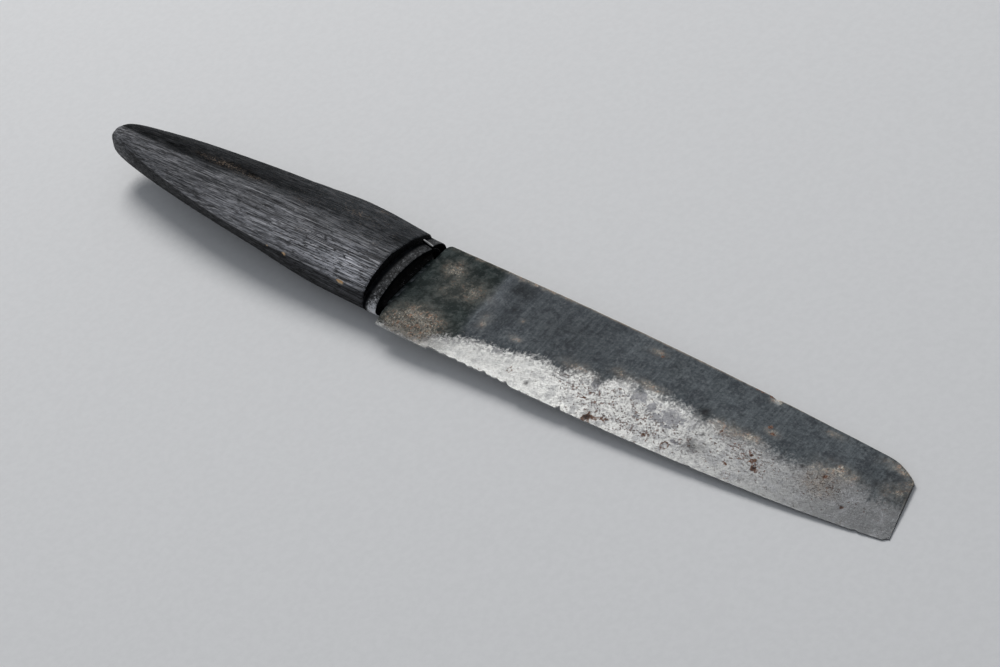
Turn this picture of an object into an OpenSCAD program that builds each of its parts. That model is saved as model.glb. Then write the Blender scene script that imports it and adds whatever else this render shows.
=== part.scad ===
// Leatherworker's flat knife with a squared end, a carved wooden grip and a lapped iron collar.
// +X runs from the grip to the blade's end, +Y to the spine, -Y to the cutting edge, +Z up.
// The origin lies on the blade's flat back, at the middle of the heel.

/* [Blade] */
// Length of the blade from the heel to the edge corner of the squared end
blade_l = 177; // [160:1:190]
// Distance from the centreline to the cutting edge at the heel
heel_edge_w = 16.9; // [15:0.1:18]
// Distance from the centreline to the spine at the heel
heel_spine_w = 17.2; // [16:0.1:19]
// How far the cutting edge sweeps in towards the spine at the end
edge_rise = 6.5; // [4:0.1:9]
// How far the spine drops towards the edge at the end
spine_drop = 6; // [4:0.1:9]
// Thickness of the blade at the heel
heel_t = 2.2; // [1.8:0.1:3]
// Thickness of the blade at the squared end
end_t = 1; // [0.8:0.1:1.6]
// Thickness left at the worn cutting edge
edge_t = 0.3; // [0.2:0.05:0.5]
// Width of the bevel ground along the cutting edge
bevel_w = 13; // [8:0.5:16]
// Length of the worn corner between the spine and the squared end
corner_l = 9.5; // [4:0.5:14]
// How far the worn corner falls below the line of the spine
corner_drop = 3.2; // [1:0.1:5]
// How far wear has rounded the cutting edge in at the heel
heel_wear = 0.3; // [0:0.1:2]
// Angle by which the squared end slants back towards the spine
end_slant = 15.5; // [5:0.5:20]

/* [Tang] */
// Length of the tang inside the grip
tang_l = 78; // [50:1:90]
// Width of the tang where it leaves the neck
tang_w = 13; // [9:0.5:15]
// Thickness of the tang
tang_t = 1.6; // [1.2:0.1:1.8]

/* [Collar] */
// Width of the iron strip along the knife
collar_w = 5.2; // [4:0.1:6]
// Thickness of the iron strip
strip_t = 1.2; // [0.8:0.1:1.4]
// Half the width of the collar over its first turn
collar_half_w = 14.4; // [13.8:0.1:15]
// Half the height of the collar over its first turn
collar_half_h = 5.4; // [5.2:0.1:6]
// Angle above the spine side at which the outer layer ends
lap_end = 33; // [20:1:50]
// Angle that the strip overlaps itself
lap_overlap = 95; // [60:5:140]
// How far the outer layer has sprung away from the inner one at the spine side
lap_spring = 1.2; // [0:0.1:1.6]

/* [Grip] */
// Width of the groove between the grip's shoulder and the collar
groove_w = 1.4; // [0.8:0.1:2]
// Room left for the bedding around the tang on each side
bedding_t = 0.9; // [0.5:0.1:1.4]
// Height of the flat on the underside, below the blade's back
rest_z = -6.6; // [-6.9:0.1:-6]

/* [Hidden] */
fit_gap = 0.05;
over = 1;
collar_front = -1.8;
collar_back = collar_front - collar_w;
shoulder_x = collar_back - groove_w;
collar_y = 0.3;
collar_z = 1.1;
stub_front = collar_front - 2.6;
neck_near = -9.5;
neck_far = 10.5;
neck_x = -1.5;
tang_z = 0.3;
tang_y = 1.5;
tang_tip_w = 5;
heel_r = 2;

// The grip is whittled through these sections, listed from the shoulder back to the butt:
// [distance from the shoulder, near side, far side, underside, crown, ridge height, ridge inset,
// foot height]. The ridge and the foot bound the upright facet on the near side.
SECTIONS = [
    [0, -13.2, 18.2, -6.6, 8.1, 4.2, 1.9, -2.9],
    [25, -12.7, 20.2, -7.0, 8.8, 4.4, 1.7, -2.6],
    [50, -10.6, 19.1, -6.8, 8.5, 4.5, 0.3, -1.6],
    [75, -8.1, 17.8, -6.2, 7.9, 4.5, 0.2, -1.6],
    [100, -4.7, 16.0, -5.3, 7.3, 4.8, 0.6, -2.4],
    [118, -1.7, 13.7, -4.4, 6.6, 4.9, 1.2, -2.6],
    [128, 0.5, 11.9, -3.2, 5.8, 4.4, 1.0, -2.0],
    [131.4, 2.4, 9.6, -1.4, 4.8, 3.8, 0.6, -0.6]
];
// Height at which the grip is widest on the far side
FAR_Z = 2.2;
RINGS = 40;

// Smooth curve through four neighbouring values, t running from the second to the third
function curve(a, b, c, d, t) =
    b + t * (c - a + t * (2 * a - 5 * b + 4 * c - d + t * (3 * (b - c) + d - a))) / 2;

// Section of the grip at position p, counted in sections from the shoulder
function section(p) =
    let (last = len(SECTIONS) - 1, i = min(floor(p), last - 1))
    [for (k = [0:7]) curve(SECTIONS[max(i - 1, 0)][k], SECTIONS[i][k], SECTIONS[i + 1][k],
        SECTIONS[min(i + 2, last)][k], p - i)];

// Eleven corners round one section, seen from the butt
function ring(s) =
    let (x = shoulder_x - s[0], near = s[1], far = s[2], under = s[3], crown = s[4], w = far - near)
    [
        [x, near + s[6], s[5]],
        [x, near + 0.22 * w, s[5] + 0.62 * (crown - s[5])],
        [x, near + 0.47 * w, crown],
        [x, near + 0.80 * w, FAR_Z + 0.6 * (crown - FAR_Z)],
        [x, far, FAR_Z],
        [x, far - 0.02 * w, 0.6 * s[7]],
        [x, far - 0.12 * w, 0.7 * under],
        [x, far - 0.28 * w, under],
        [x, near + 0.24 * w, under],
        [x, near + 0.04 * w, s[7]],
        [x, near, 0]
    ];

function spine_y(x) = heel_spine_w - spine_drop * pow(max(0, x - 20) / (blade_l - 20), 2);
function edge_y(x) = -heel_edge_w + edge_rise * pow(max(0, x - 20) / (blade_l - 20), 3.2)
    + heel_wear * exp(-max(0, x) / 6);
function end_x(y) = blade_l - (y - edge_y(blade_l)) * tan(end_slant);
function blade_t(x) = heel_t + (end_t - heel_t) * x / blade_l;
function bevel_at(x) = bevel_w * min(1, 0.35 + max(0, x) / 60);

// Point on the collar's oval, grown outwards by d
function oval(a, d) =
    [collar_y + (collar_half_w + d) * cos(a), collar_z + (collar_half_h + d) * sin(a)];

// Lofted skin through a list of rings
module loft(rings) {
    n = len(rings[0]);
    m = len(rings);
    polyhedron(
        points = [for (r = rings) each r],
        faces = concat(
            [[for (i = [0:n - 1]) i]],
            [for (j = [0:m - 2]) for (i = [0:n - 1]) let (k = (i + 1) % n)
                each [[j * n + i, (j + 1) * n + i, j * n + k],
                    [j * n + k, (j + 1) * n + i, (j + 1) * n + k]]],
            [[for (i = [n - 1:-1:0]) (m - 1) * n + i]]
        ),
        convexity = 4
    );
}

// Stands a YZ outline up between two X positions
module across(x0, x1) {
    translate([x0, 0, 0]) rotate([90, 0, 90]) linear_extrude(x1 - x0, convexity = 4) children();
}

module oval_2d(d) {
    polygon([for (a = [0:6:354]) oval(a, d)]);
}

module blade_2d() {
    steps = 24;
    corner_x = end_x(spine_y(blade_l) - corner_drop);
    spine_end = corner_x - corner_l;
    polygon(concat(
        [for (i = [0:steps]) let (x = blade_l * i / steps) [x, edge_y(x)]],
        [for (t = [1:-1/6:0.1]) let (x = spine_end + corner_l * t)
            [x, spine_y(x) - corner_drop * pow(t, 1.7)]],
        [for (i = [steps:-1:1]) let (x = heel_r + (spine_end - heel_r) * i / steps) [x, spine_y(x)]],
        [for (a = [90:15:180]) [heel_r + heel_r * cos(a), heel_spine_w - heel_r + heel_r * sin(a)]]
    ));
}

// Plan outline of the tang, grown by d
module tang_2d(d) {
    end = -tang_l - d;
    polygon([
        [neck_x, tang_y - tang_w / 2 - d], [neck_x, tang_y + tang_w / 2 + d],
        [end + 4, tang_y + tang_tip_w / 2 + d], [end, tang_y + tang_tip_w / 6 + d],
        [end, tang_y - tang_tip_w / 6 - d], [end + 4, tang_y - tang_tip_w / 2 - d]
    ]);
}

module tang_hole(d) {
    translate([0, 0, tang_z - d]) linear_extrude(tang_t + 2 * d) tang_2d(d);
}

module neck_hole(d) {
    translate([stub_front - d, neck_near - d, tang_z - d])
        cube([neck_x - stub_front + 2 * d, neck_far - neck_near + 2 * d, tang_t + 2 * d]);
}

// Forged plate, flat behind and bevelled in front, with its neck and tang
module blade() {
    stations = 12;
    color([0.33, 0.34, 0.35]) {
        difference() {
            linear_extrude(heel_t, convexity = 4) blade_2d();
            // forged taper towards the end
            translate([0, 0, heel_t])
                rotate([0, atan((heel_t - end_t) / blade_l), 0])
                    translate([0, -50, 0]) cube([2 * blade_l, 100, heel_t]);
            // bevel that follows the cutting edge
            loft([for (i = [0:stations])
                let (
                    x = -over + (blade_l + 2 * over) * i / stations,
                    y = edge_y(x),
                    slope = (blade_t(x) - edge_t) / bevel_at(x),
                    inner = bevel_at(x) + 4 * over
                )
                [
                    [x, y + inner, edge_t + inner * slope], [x, y + inner, 2 * heel_t],
                    [x, y - over, 2 * heel_t], [x, y - over, edge_t - over * slope]
                ]
            ]);
        }
        translate([neck_x, neck_near, 0]) cube([over - neck_x, neck_far - neck_near, tang_z + tang_t]);
        neck_hole(0);
        tang_hole(0);
    }
}

// Carved grip with a reduced stub for the collar and a slot burned in for the tang
module handle() {
    last = len(SECTIONS) - 1;
    color([0.16, 0.14, 0.14]) difference() {
        union() {
            loft([for (j = [0:RINGS]) ring(section(last * j / RINGS))]);
            across(shoulder_x - over, stub_front) oval_2d(-strip_t - fit_gap);
        }
        // flat that the knife rests on
        translate([-200, -50, rest_z - 20]) cube([200, 100, 20]);
        tang_hole(bedding_t);
        // mouth of the slot
        translate([stub_front - 2, neck_near - bedding_t, tang_z - bedding_t])
            cube([2 + over, neck_far - neck_near + 2 * bedding_t, tang_t + 2 * bedding_t]);
    }
}

// Iron strip wound once round the stub and lapped over its own end, which stands a little clear
module collar() {
    step = 5;
    ramp = 25;
    start = lap_end - lap_overlap;
    lift = strip_t + fit_gap;
    spring_mid = 363;
    spring_reach = 32;
    // the strip climbs over its hidden end after one turn and stops at the visible cut
    function rise(a) = lift * min(1, max(0, (a - start - 360) / ramp + 1)) + spring(a);
    // between its bends the outer layer bulges outwards
    function spring(a) = abs(a - spring_mid) < spring_reach
        ? lap_spring * pow(cos(90 * (a - spring_mid) / spring_reach), 2) : 0;
    turn = [for (a = [start:step:lap_end + 360]) a];
    color([0.12, 0.12, 0.13]) across(collar_back, collar_front)
        polygon(concat([for (a = turn) oval(a, rise(a))],
            [for (i = [len(turn) - 1:-1:0]) oval(turn[i], rise(turn[i]) - strip_t)]));
}

// Hard black pitch that holds the tang in its slot, with a bead round the blade's root
module pitch_bedding() {
    face = stub_front + 1.4;
    bead = 1.1;
    color([0.05, 0.04, 0.04]) difference() {
        union() {
            tang_hole(bedding_t - fit_gap);
            across(stub_front - 2 + fit_gap, stub_front + fit_gap)
                translate([neck_near - bedding_t + fit_gap, tang_z - bedding_t + fit_gap])
                    square([neck_far - neck_near, tang_t] + 2 * (bedding_t - fit_gap) * [1, 1]);
            across(stub_front + fit_gap, face) oval_2d(-strip_t - fit_gap);
            across(stub_front + fit_gap, face + 0.8)
                translate([neck_near - bead, tang_z - bead])
                    square([neck_far - neck_near, tang_t] + 2 * bead * [1, 1]);
        }
        tang_hole(fit_gap);
        neck_hole(fit_gap);
        translate([stub_front - 10, tang_y - tang_w / 2 - fit_gap, tang_z - fit_gap])
            cube([20, tang_w + 2 * fit_gap, tang_t + 2 * fit_gap]);
    }
}

blade();
handle();
collar();
pitch_bedding();
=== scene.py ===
"""A leatherworker's flat knife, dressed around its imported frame.

Each of the four pieces is a fine closed mesh sampled from its CAD node, so it keeps the node's place and
size, and then gets the marks of forging, whittling and wear. Lengths are in millimetres until a mesh is made.
X runs from the heel to the blade's squared end, Y from the cutting edge to the spine, Z up out of the bevel.
"""

import itertools
import math
from types import SimpleNamespace

import bpy
import numpy as np
from mathutils import Matrix, Vector
from mathutils.bvhtree import BVHTree


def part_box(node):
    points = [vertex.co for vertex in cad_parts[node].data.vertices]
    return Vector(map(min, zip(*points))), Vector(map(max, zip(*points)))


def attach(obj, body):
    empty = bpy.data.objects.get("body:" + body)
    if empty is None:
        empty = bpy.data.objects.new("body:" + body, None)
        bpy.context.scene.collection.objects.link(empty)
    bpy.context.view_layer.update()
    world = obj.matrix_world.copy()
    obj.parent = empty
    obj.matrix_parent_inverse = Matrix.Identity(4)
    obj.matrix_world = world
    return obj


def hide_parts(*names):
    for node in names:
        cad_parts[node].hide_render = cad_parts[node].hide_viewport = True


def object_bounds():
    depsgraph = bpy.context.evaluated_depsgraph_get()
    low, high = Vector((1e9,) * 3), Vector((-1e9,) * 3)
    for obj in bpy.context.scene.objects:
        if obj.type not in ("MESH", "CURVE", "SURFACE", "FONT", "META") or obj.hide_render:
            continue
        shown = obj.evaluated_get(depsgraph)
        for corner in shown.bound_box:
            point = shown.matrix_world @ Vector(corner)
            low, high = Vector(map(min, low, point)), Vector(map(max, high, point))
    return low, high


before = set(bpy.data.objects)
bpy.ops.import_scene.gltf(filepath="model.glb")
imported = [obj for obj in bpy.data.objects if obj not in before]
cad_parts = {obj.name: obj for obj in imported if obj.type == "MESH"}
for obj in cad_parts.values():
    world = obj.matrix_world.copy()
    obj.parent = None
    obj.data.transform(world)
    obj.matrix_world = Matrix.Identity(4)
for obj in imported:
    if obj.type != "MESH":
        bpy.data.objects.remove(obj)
CAD_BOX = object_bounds()
MM = 0.001
CLEAR = 20               # how far off a piece the rays along X and Z start
SIDE_CLEAR = 30          # the same for rays along Y
RING_CLEAR = 60          # the same for rays round the grip
AXIS = (0.3, 1.1)        # Y and Z of the line through the middle of the stub, collar and pitch
COLLAR_HALF = (14.4, 5.4)                              # half sizes of the collar's outer oval
STRIP = 1.2                                            # thickness of the collar's strip
STUB_HALF = np.array(COLLAR_HALF) - STRIP - 0.05       # half sizes of the grip's stub
SECTION_POINTS = 720     # points in a fine section, before it is resampled


# ---- numbers

def smoothstep(low, high, value):
    t = np.clip((value - low) / (high - low), 0, 1)
    return t * t * (3 - 2 * t)


def noise(points, seed):
    """Smooth value noise between -1 and 1 at each row of points, one lattice step per unit."""
    base = np.floor(points).astype(np.int64)
    part = points - base
    part = part * part * (3 - 2 * part)
    total = np.zeros(len(points))
    for corner in itertools.product((0, 1), repeat=3):
        key = (base + corner) @ np.array([73856093, 19349663, 83492791]) + seed * 668265263
        key = (key ^ (key >> 13)) * 1274126177 & 0x7FFFFFFF
        key = (key ^ (key >> 15)) & 0xFFFF
        total += np.prod(np.where(corner, part, 1 - part), axis=1) * key / 0x7FFF
    return total - 1


def cloud(points, seed, octaves=4):
    """Layers of noise, each half as large and about twice as fine as the one before."""
    layers = sum(noise(points * 2.03 ** k, seed + k) / 2 ** k for k in range(octaves))
    return layers / (2 - 0.5 ** (octaves - 1))


def flat_cloud(x, y, step_x, step_y, seed, octaves=4):
    """A cloud over the blade's plane, with lattice steps of step_x and step_y millimetres."""
    return cloud(np.stack([x / step_x, y / step_y, np.full_like(x, 0.5)], axis=1), seed, octaves)


def grain_cloud(points, along, across, seed, octaves=4):
    """A cloud in space, with lattice steps of along in X and of across in Y and Z."""
    return cloud(points / [along, across, across], seed, octaves)


def ring_angles():
    """Angles about +X for a fine section, counter-clockwise from the grip's near ridge."""
    return np.radians(135) + np.linspace(0, 2 * math.pi, SECTION_POINTS, endpoint=False)


def resample(points, count, closed=False):
    """Points spread evenly by length along a line."""
    line = np.vstack([points, points[:1]]) if closed else points
    length = np.concatenate([[0], np.cumsum(np.linalg.norm(np.diff(line, axis=0), axis=1))])
    where = np.linspace(0, length[-1], count + 1 if closed else count)[:count]
    return np.stack([np.interp(where, length, line[:, k]) for k in range(line.shape[1])], axis=1)


# ---- the CAD frame as a surface to sample

class Surface:
    """A CAD node in millimetres, read by casting rays at it."""

    def __init__(self, node):
        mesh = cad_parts[node].data
        points = [v.co / MM for v in mesh.vertices]
        self.tree = BVHTree.FromPolygons(points, [tuple(p.vertices) for p in mesh.polygons])
        low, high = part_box(node)
        self.low, self.high = np.array(low) / MM, np.array(high) / MM

    def hit(self, start, toward):
        """Where the first surface from start lies, or None."""
        place = self.tree.ray_cast(Vector(start), Vector(toward))[0]
        return None if place is None else np.array(place)

    def side(self, x, z, sign):
        """The Y at which the surface is met from its +Y or -Y side."""
        return self.hit((x, sign * SIDE_CLEAR, z), (0, -sign, 0))[1]


# ---- meshes

def loft(name, rings):
    """A closed mesh through rings with the same number of points, with a fan over each end."""
    rings = [np.asarray(r, float) for r in rings]
    count, around = len(rings), len(rings[0])
    verts = np.vstack(rings + [rings[0].mean(0)[None], rings[-1].mean(0)[None]])
    i, j = np.meshgrid(np.arange(count - 1), np.arange(around), indexing="ij")
    k = (j + 1) % around
    quads = np.stack([i * around + j, i * around + k, (i + 1) * around + k, (i + 1) * around + j], axis=-1)
    j = np.arange(around)
    k = (j + 1) % around
    first, last, end = len(verts) - 2, len(verts) - 1, (count - 1) * around
    faces = quads.reshape(-1, 4).tolist()
    faces += [[first, b, a] for a, b in zip(j.tolist(), k.tolist())]
    faces += [[last, end + a, end + b] for a, b in zip(j.tolist(), k.tolist())]
    return make_object(name, verts, faces)


def slab(name, top, bottom):
    """A closed mesh between two grids of points with the same shape."""
    columns, rows = top.shape[:2]
    verts = np.vstack([top.reshape(-1, 3), bottom.reshape(-1, 3)])
    grid = np.arange(columns * rows).reshape(columns, rows)
    under = grid + columns * rows

    def quads(a, b, c, d):
        return np.stack([a, b, c, d], axis=-1).reshape(-1, 4)

    def strip(a, b):
        return quads(a[:-1], a[1:], b[1:], b[:-1])

    faces = [
        quads(grid[:-1, :-1], grid[1:, :-1], grid[1:, 1:], grid[:-1, 1:]),
        quads(under[:-1, :-1], under[:-1, 1:], under[1:, 1:], under[1:, :-1]),
        strip(under[:, 0], grid[:, 0]),
        strip(grid[:, -1], under[:, -1]),
        strip(grid[0], under[0]),
        strip(under[-1], grid[-1]),
    ]
    return make_object(name, verts, np.vstack(faces).tolist())


def make_object(name, verts, faces):
    mesh = bpy.data.meshes.new(name)
    mesh.from_pydata((np.asarray(verts) * MM).tolist(), [], faces)
    mesh.validate()
    mesh.polygons.foreach_set("use_smooth", [True] * len(mesh.polygons))
    mesh.update()
    obj = bpy.data.objects.new(name, mesh)
    bpy.context.scene.collection.objects.link(obj)
    return obj


def sharpen(obj, degrees):
    obj.data.set_sharp_from_angle(angle=math.radians(degrees))


def paint(obj, name, values):
    """Stores one number per vertex for a material to read."""
    attribute = obj.data.attributes.new(name, "FLOAT", "POINT")
    attribute.data.foreach_set("value", np.asarray(values, np.float32))


def verts_mm(obj):
    co = np.empty(len(obj.data.vertices) * 3, np.float32)
    obj.data.vertices.foreach_get("co", co)
    return co.reshape(-1, 3).astype(float) / MM


def dress(obj, node, material):
    """Puts a finished piece in its CAD node's place."""
    obj.data.materials.append(material)
    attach(obj, "root")
    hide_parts(node)


# ---- material nodes

class Nodes:
    """Short calls for building one Principled material."""

    def __init__(self, name):
        self.material = bpy.data.materials.new(name)
        self.material.use_nodes = True
        self.tree = self.material.node_tree
        self.shader = next(n for n in self.tree.nodes if n.type == "BSDF_PRINCIPLED")
        self.place = self.new("TexCoord").outputs["Object"]

    def new(self, kind, inputs=None, **settings):
        node = self.tree.nodes.new("ShaderNode" + kind)
        for key, value in settings.items():
            setattr(node, key, value)
        for key, value in (inputs or {}).items():
            self.feed(node.inputs[key], value)
        return node

    def feed(self, socket, value):
        if isinstance(value, bpy.types.NodeSocket):
            self.tree.links.new(value, socket)
        elif value is not None:
            socket.default_value = value

    def scaled(self, x, y, z):
        """The place on the object, in lattice steps per millimetre along each axis."""
        scale = (x / MM, y / MM, z / MM)
        return self.new("Mapping", {"Vector": self.place, "Scale": scale}).outputs["Vector"]

    def noise(self, place, detail=4.0, rough=0.55, warp=0.0):
        """Noise at a place, or with so many lattice steps per millimetre along each axis."""
        if isinstance(place, tuple):
            place = self.scaled(*place)
        inputs = {"Vector": place, "Scale": 1.0, "Detail": detail, "Roughness": rough, "Distortion": warp}
        return self.new("TexNoise", inputs).outputs["Fac"]

    def attribute(self, name):
        return self.new("Attribute", attribute_name=name).outputs["Fac"]

    def ramp(self, value, low, high, start=0.0, end=1.0):
        inputs = {"Value": value, "From Min": low, "From Max": high, "To Min": start, "To Max": end}
        return self.new("MapRange", inputs, interpolation_type="SMOOTHSTEP").outputs["Result"]

    def math(self, operation, a, b=None):
        node = self.new("Math", operation=operation)
        self.feed(node.inputs[0], a)
        self.feed(node.inputs[1], b)
        return node.outputs[0]

    def times(self, a, b):
        return self.math("MULTIPLY", a, b)

    def plus(self, a, b):
        return self.math("ADD", a, b)

    def swing(self, value, middle, gain=1.0):
        """How far a number lies above its middle, times a gain."""
        return self.times(self.math("SUBTRACT", value, middle), gain)

    def mix(self, share, a, b):
        """A blend of two colours, or of a colour socket and a colour."""
        node = self.new("Mix", data_type="RGBA")
        for socket, value in zip([node.inputs[0], node.inputs[6], node.inputs[7]], [share, a, b]):
            self.feed(socket, value if not isinstance(value, tuple) else (*value, 1.0))
        return node.outputs[2]

    def total(self, *terms):
        """The sum of some numbers, each times its own strength."""
        result = 0.0
        for value, strength in terms:
            result = self.plus(result, self.times(value, strength))
        return result

    def layer(self, colour, rows):
        """Tints a colour by one row after another: the tint, and numbers that multiply to its share."""
        for tint, share, *factors in rows:
            for factor in factors:
                share = self.times(share, factor)
            colour = self.mix(share, colour, tint)
        return colour

    def shade(self, colour, level):
        """A colour made darker or lighter by a number."""
        grey = self.new("CombineXYZ", {0: level, 1: level, 2: level}).outputs[0]
        settings = {"data_type": "RGBA", "blend_type": "MULTIPLY"}
        return self.new("Mix", {0: 1.0, 6: colour, 7: grey}, **settings).outputs[2]

    def blend(self, share, a, b):
        """A blend of two numbers."""
        node = self.new("Mix", data_type="FLOAT")
        for socket, value in zip([node.inputs[0], node.inputs[2], node.inputs[3]], [share, a, b]):
            self.feed(socket, value)
        return node.outputs[0]

    def bump(self, height, depth_mm, normal=None):
        inputs = {"Height": height, "Strength": 1.0, "Distance": depth_mm * MM, "Normal": normal}
        return self.new("Bump", inputs).outputs["Normal"]

    def finish(self, colour, rough, metal=0.0, normal=None, gloss=0.5):
        values = {"Base Color": colour, "Roughness": rough, "Metallic": metal, "Normal": normal,
                  "Specular IOR Level": gloss}
        for key, value in values.items():
            self.feed(self.shader.inputs[key], (*value, 1.0) if isinstance(value, tuple) else value)
        return self.material


# ---- the blade

EDGE_Z = 0.15            # a height inside the thin cutting edge
MID_Z = 0.6              # a height inside the blade everywhere but at the bevel
NECK_TOP_Z = 2.05        # a height above the neck and inside the heel
TANG_Z = 1.0             # a height inside the neck and tang
BLADE_COLUMNS, BLADE_ROWS = 560, 86
FINE_SIDE = 900          # points along a side of the plan, before it is resampled
FINE_HEEL = 600          # the same for the heel
BLADE_LENGTH = 177       # from the heel to the edge corner of the squared end
END_REACH = 14           # the squared end lies within this distance of the blade's tip
HEEL_REACH = 3           # the heel's face lies within this distance of X = 0
RIM_TOP = 0.35           # height of the upper face where a ray passes just beside the edge
LEAST_THICK = 0.12       # the thinnest that the blade gets
# In the tables a place is a distance from the heel and one from the centreline.
# Nicks in the cutting edge: distance from the heel, half width, depth
NICKS = [
    (22.6, 0.9, 0.45), (27.3, 0.7, 0.35), (31.8, 1, 0.45), (35.4, 0.6, 0.25), (38.2, 0.8, 0.35),
    (42.6, 1.1, 0.65), (45.4, 0.6, 0.3), (47.9, 0.8, 0.35), (51.2, 0.9, 0.6), (71, 0.95, 1.25),
    (56.8, 0.5, 0.25), (86.5, 0.5, 0.2), (116.3, 0.8, 0.3), (134, 0.6, 0.2), (167.5, 0.8, 0.3),
    (176.6, 1.3, 0.9),
]
# Upper border of the polished zone: place
POLISH = [
    (0, -15.6), (3, -15.5), (12, -15.9), (16, -15.7), (19, -13.6), (23, -11.2), (28, -9.4), (35, -8),
    (42, -7.5), (47, -6.3), (58, -4.4), (61, -5.4), (65, -4.8), (68, -3.2), (73, -2.6), (75.5, -3.8),
    (77, -3.4), (79, -0.6), (82, 1), (85, 0.6), (87, -0.6), (92, 0.6), (105, 0.3), (110, -1.9),
    (113, 0.1), (118, -1.2), (127, -0.4), (137, -1.2), (142, -1.5), (147, 0.3), (157, 1.9), (165, -0.3),
    (177, -0.2),
]


def edge_line(cad, end_x):
    """The worn and chipped cutting edge, from the heel to the squared end."""
    xs = np.linspace(0, end_x, FINE_SIDE)
    edge = np.array([[x, cad.side(x, EDGE_Z, -1)] for x in xs])
    worn = smoothstep(20.7, 21.1, xs)
    chipped = 1 - smoothstep(51, 54, xs)
    grit = flat_cloud(xs, xs * 0, 0.9, 1, 11)
    edge[:, 1] += worn * (0.3 * (1 - smoothstep(100, 170, xs)) + chipped * (0.42 + 0.38 * grit))
    edge[:, 1] += 0.05 * flat_cloud(xs, xs * 0, 2.5, 1, 12)
    for where, half, depth in NICKS:
        edge[:, 1] += depth * np.clip(1 - np.abs(xs - where) / half, 0, 1) ** 0.8
    edge[:, 1] = np.maximum(edge[:, 1], cad.low[1] + 0.01)
    return edge


def spine_line(cad, start_x, end_x):
    """The dinged spine, with one notch."""
    xs = np.linspace(start_x, end_x, FINE_SIDE)
    spine = np.array([[x, cad.side(x, MID_Z, 1)] for x in xs])
    dings = flat_cloud(xs, xs * 0, 3.0, 1, 13)
    notch = np.clip(1 - np.abs(xs - 123.5) / 1.6, 0, 1)
    spine[:, 1] -= 0.07 * (1 + dings) + 0.35 * notch
    return spine


def blade_outline(cad):
    """The four sides of the blade's plan: cutting edge, spine, heel and squared end."""
    end_x = cad.high[0] - 0.02
    edge = edge_line(cad, end_x)

    end = [edge[-1]]
    for y in np.linspace(edge[-1, 1] + 0.05, cad.high[1], FINE_SIDE):
        place = cad.hit((cad.high[0] + CLEAR, y, MID_Z if y > 0 else EDGE_Z), (-1, 0, 0))
        if place is not None and place[0] > end_x - END_REACH:
            end.append(place[:2])
    end = resample(np.array(end), BLADE_ROWS)

    heel = []
    for y in np.linspace(edge[0, 1], cad.high[1], FINE_HEEL):
        place = cad.hit((-CLEAR, y, NECK_TOP_Z if y > 0 else EDGE_Z), (1, 0, 0))
        if place is not None and place[0] < HEEL_REACH:
            heel.append([max(place[0], 0), y])
    heel = resample(np.array(heel), BLADE_ROWS)

    spine = spine_line(cad, heel[-1, 0], end[-1, 0])
    heel[0], heel[-1], end[-1] = edge[0], spine[0], spine[-1]
    return resample(edge, BLADE_COLUMNS), resample(spine, BLADE_COLUMNS), heel, end


def patch(low, high, start, end):
    """Points spread between four joined sides, as an array of columns of rows."""
    u = np.linspace(0, 1, len(low))[:, None, None]
    v = np.linspace(0, 1, len(start))[None, :, None]
    sides = (1 - v) * low[:, None] + v * high[:, None] + (1 - u) * start[None] + u * end[None]
    corners = (1 - u) * ((1 - v) * low[0] + v * high[0]) + u * ((1 - v) * low[-1] + v * high[-1])
    return sides - corners


def smooth_grid(values, passes):
    for _ in range(passes):
        padded = np.pad(values, 1, mode="edge")
        values = (padded[:-2, 1:-1] + padded[2:, 1:-1] + padded[1:-1, :-2] + padded[1:-1, 2:]) / 4
    return values


def dent(x, y, cx, cy, radius):
    return np.exp(-((x - cx) ** 2 + (y - cy) ** 2) / radius ** 2)


def blade_faces(cad, plan):
    """The heights of the bevelled face and the flat back over the plan's points."""
    x, y = plan.reshape(-1, 2).T
    hits = [cad.hit((min(a, cad.high[0] - 0.1), b, CLEAR), (0, 0, -1)) for a, b in zip(x, y)]
    top = np.array([RIM_TOP if place is None else place[2] for place in hits])
    top = smooth_grid(top.reshape(plan.shape[:2]), 10).ravel()
    fade = np.clip((top - 0.3) / 1.0, 0, 1)
    forged = 0.07 * flat_cloud(x, y, 16, 10, 21) + 0.02 * flat_cloud(x, y, 3, 3, 22)
    heel = 1 - smoothstep(20, 34, x + 3 * flat_cloud(x, y, 9, 6, 23))
    scale_pits = 0.05 * heel * np.clip(flat_cloud(x, y, 0.9, 0.9, 24) - 0.1, 0, 1)
    top += fade * (forged - 0.06) - scale_pits
    bottom = 0.03 * (1 + flat_cloud(x, y, 12, 10, 31)) * fade
    for cx, cy, radius, depth in PITS:
        top -= depth * dent(x, y, cx, cy, radius)
    return np.maximum(top, bottom + LEAST_THICK), bottom


def tang_columns(cad, rows):
    """Straight columns of points, upper and lower, from the tang's end to the heel."""
    tip = cad.low[0]
    # where a column stands, and where the CAD node is measured for it, on its own side of each step
    places = [(tip, tip + 0.01), (tip + 4, tip + 4), (-40, -40), (-4.45, -4.5), (-4.35, -4.3),
              (-1.55, -1.6), (-1.45, -1.4), (0, -0.1)]
    columns = []
    for place, sample in places:
        sides = [cad.side(sample, TANG_Z, sign) for sign in (-1, 1)]
        ys = np.linspace(*sides, rows)
        for sign in (1, -1):
            level = cad.hit((sample, sum(sides) / 2, sign * CLEAR), (0, 0, -sign))[2]
            columns.append(np.column_stack([np.full(rows, place), ys, np.full(rows, level)]))
    return columns[::2], columns[1::2]


def build_blade():
    cad = Surface("blade")
    plan = patch(*blade_outline(cad))
    grids = [np.dstack([plan, heights.reshape(plan.shape[:2])]) for heights in blade_faces(cad, plan)]
    tang = tang_columns(cad, BLADE_ROWS)
    blade = slab("forged_blade", *[np.concatenate([columns, grid]) for columns, grid in zip(tang, grids)])
    sharpen(blade, 50)
    paint_blade(blade)
    dress(blade, "blade", blade_material())
    return blade


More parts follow.
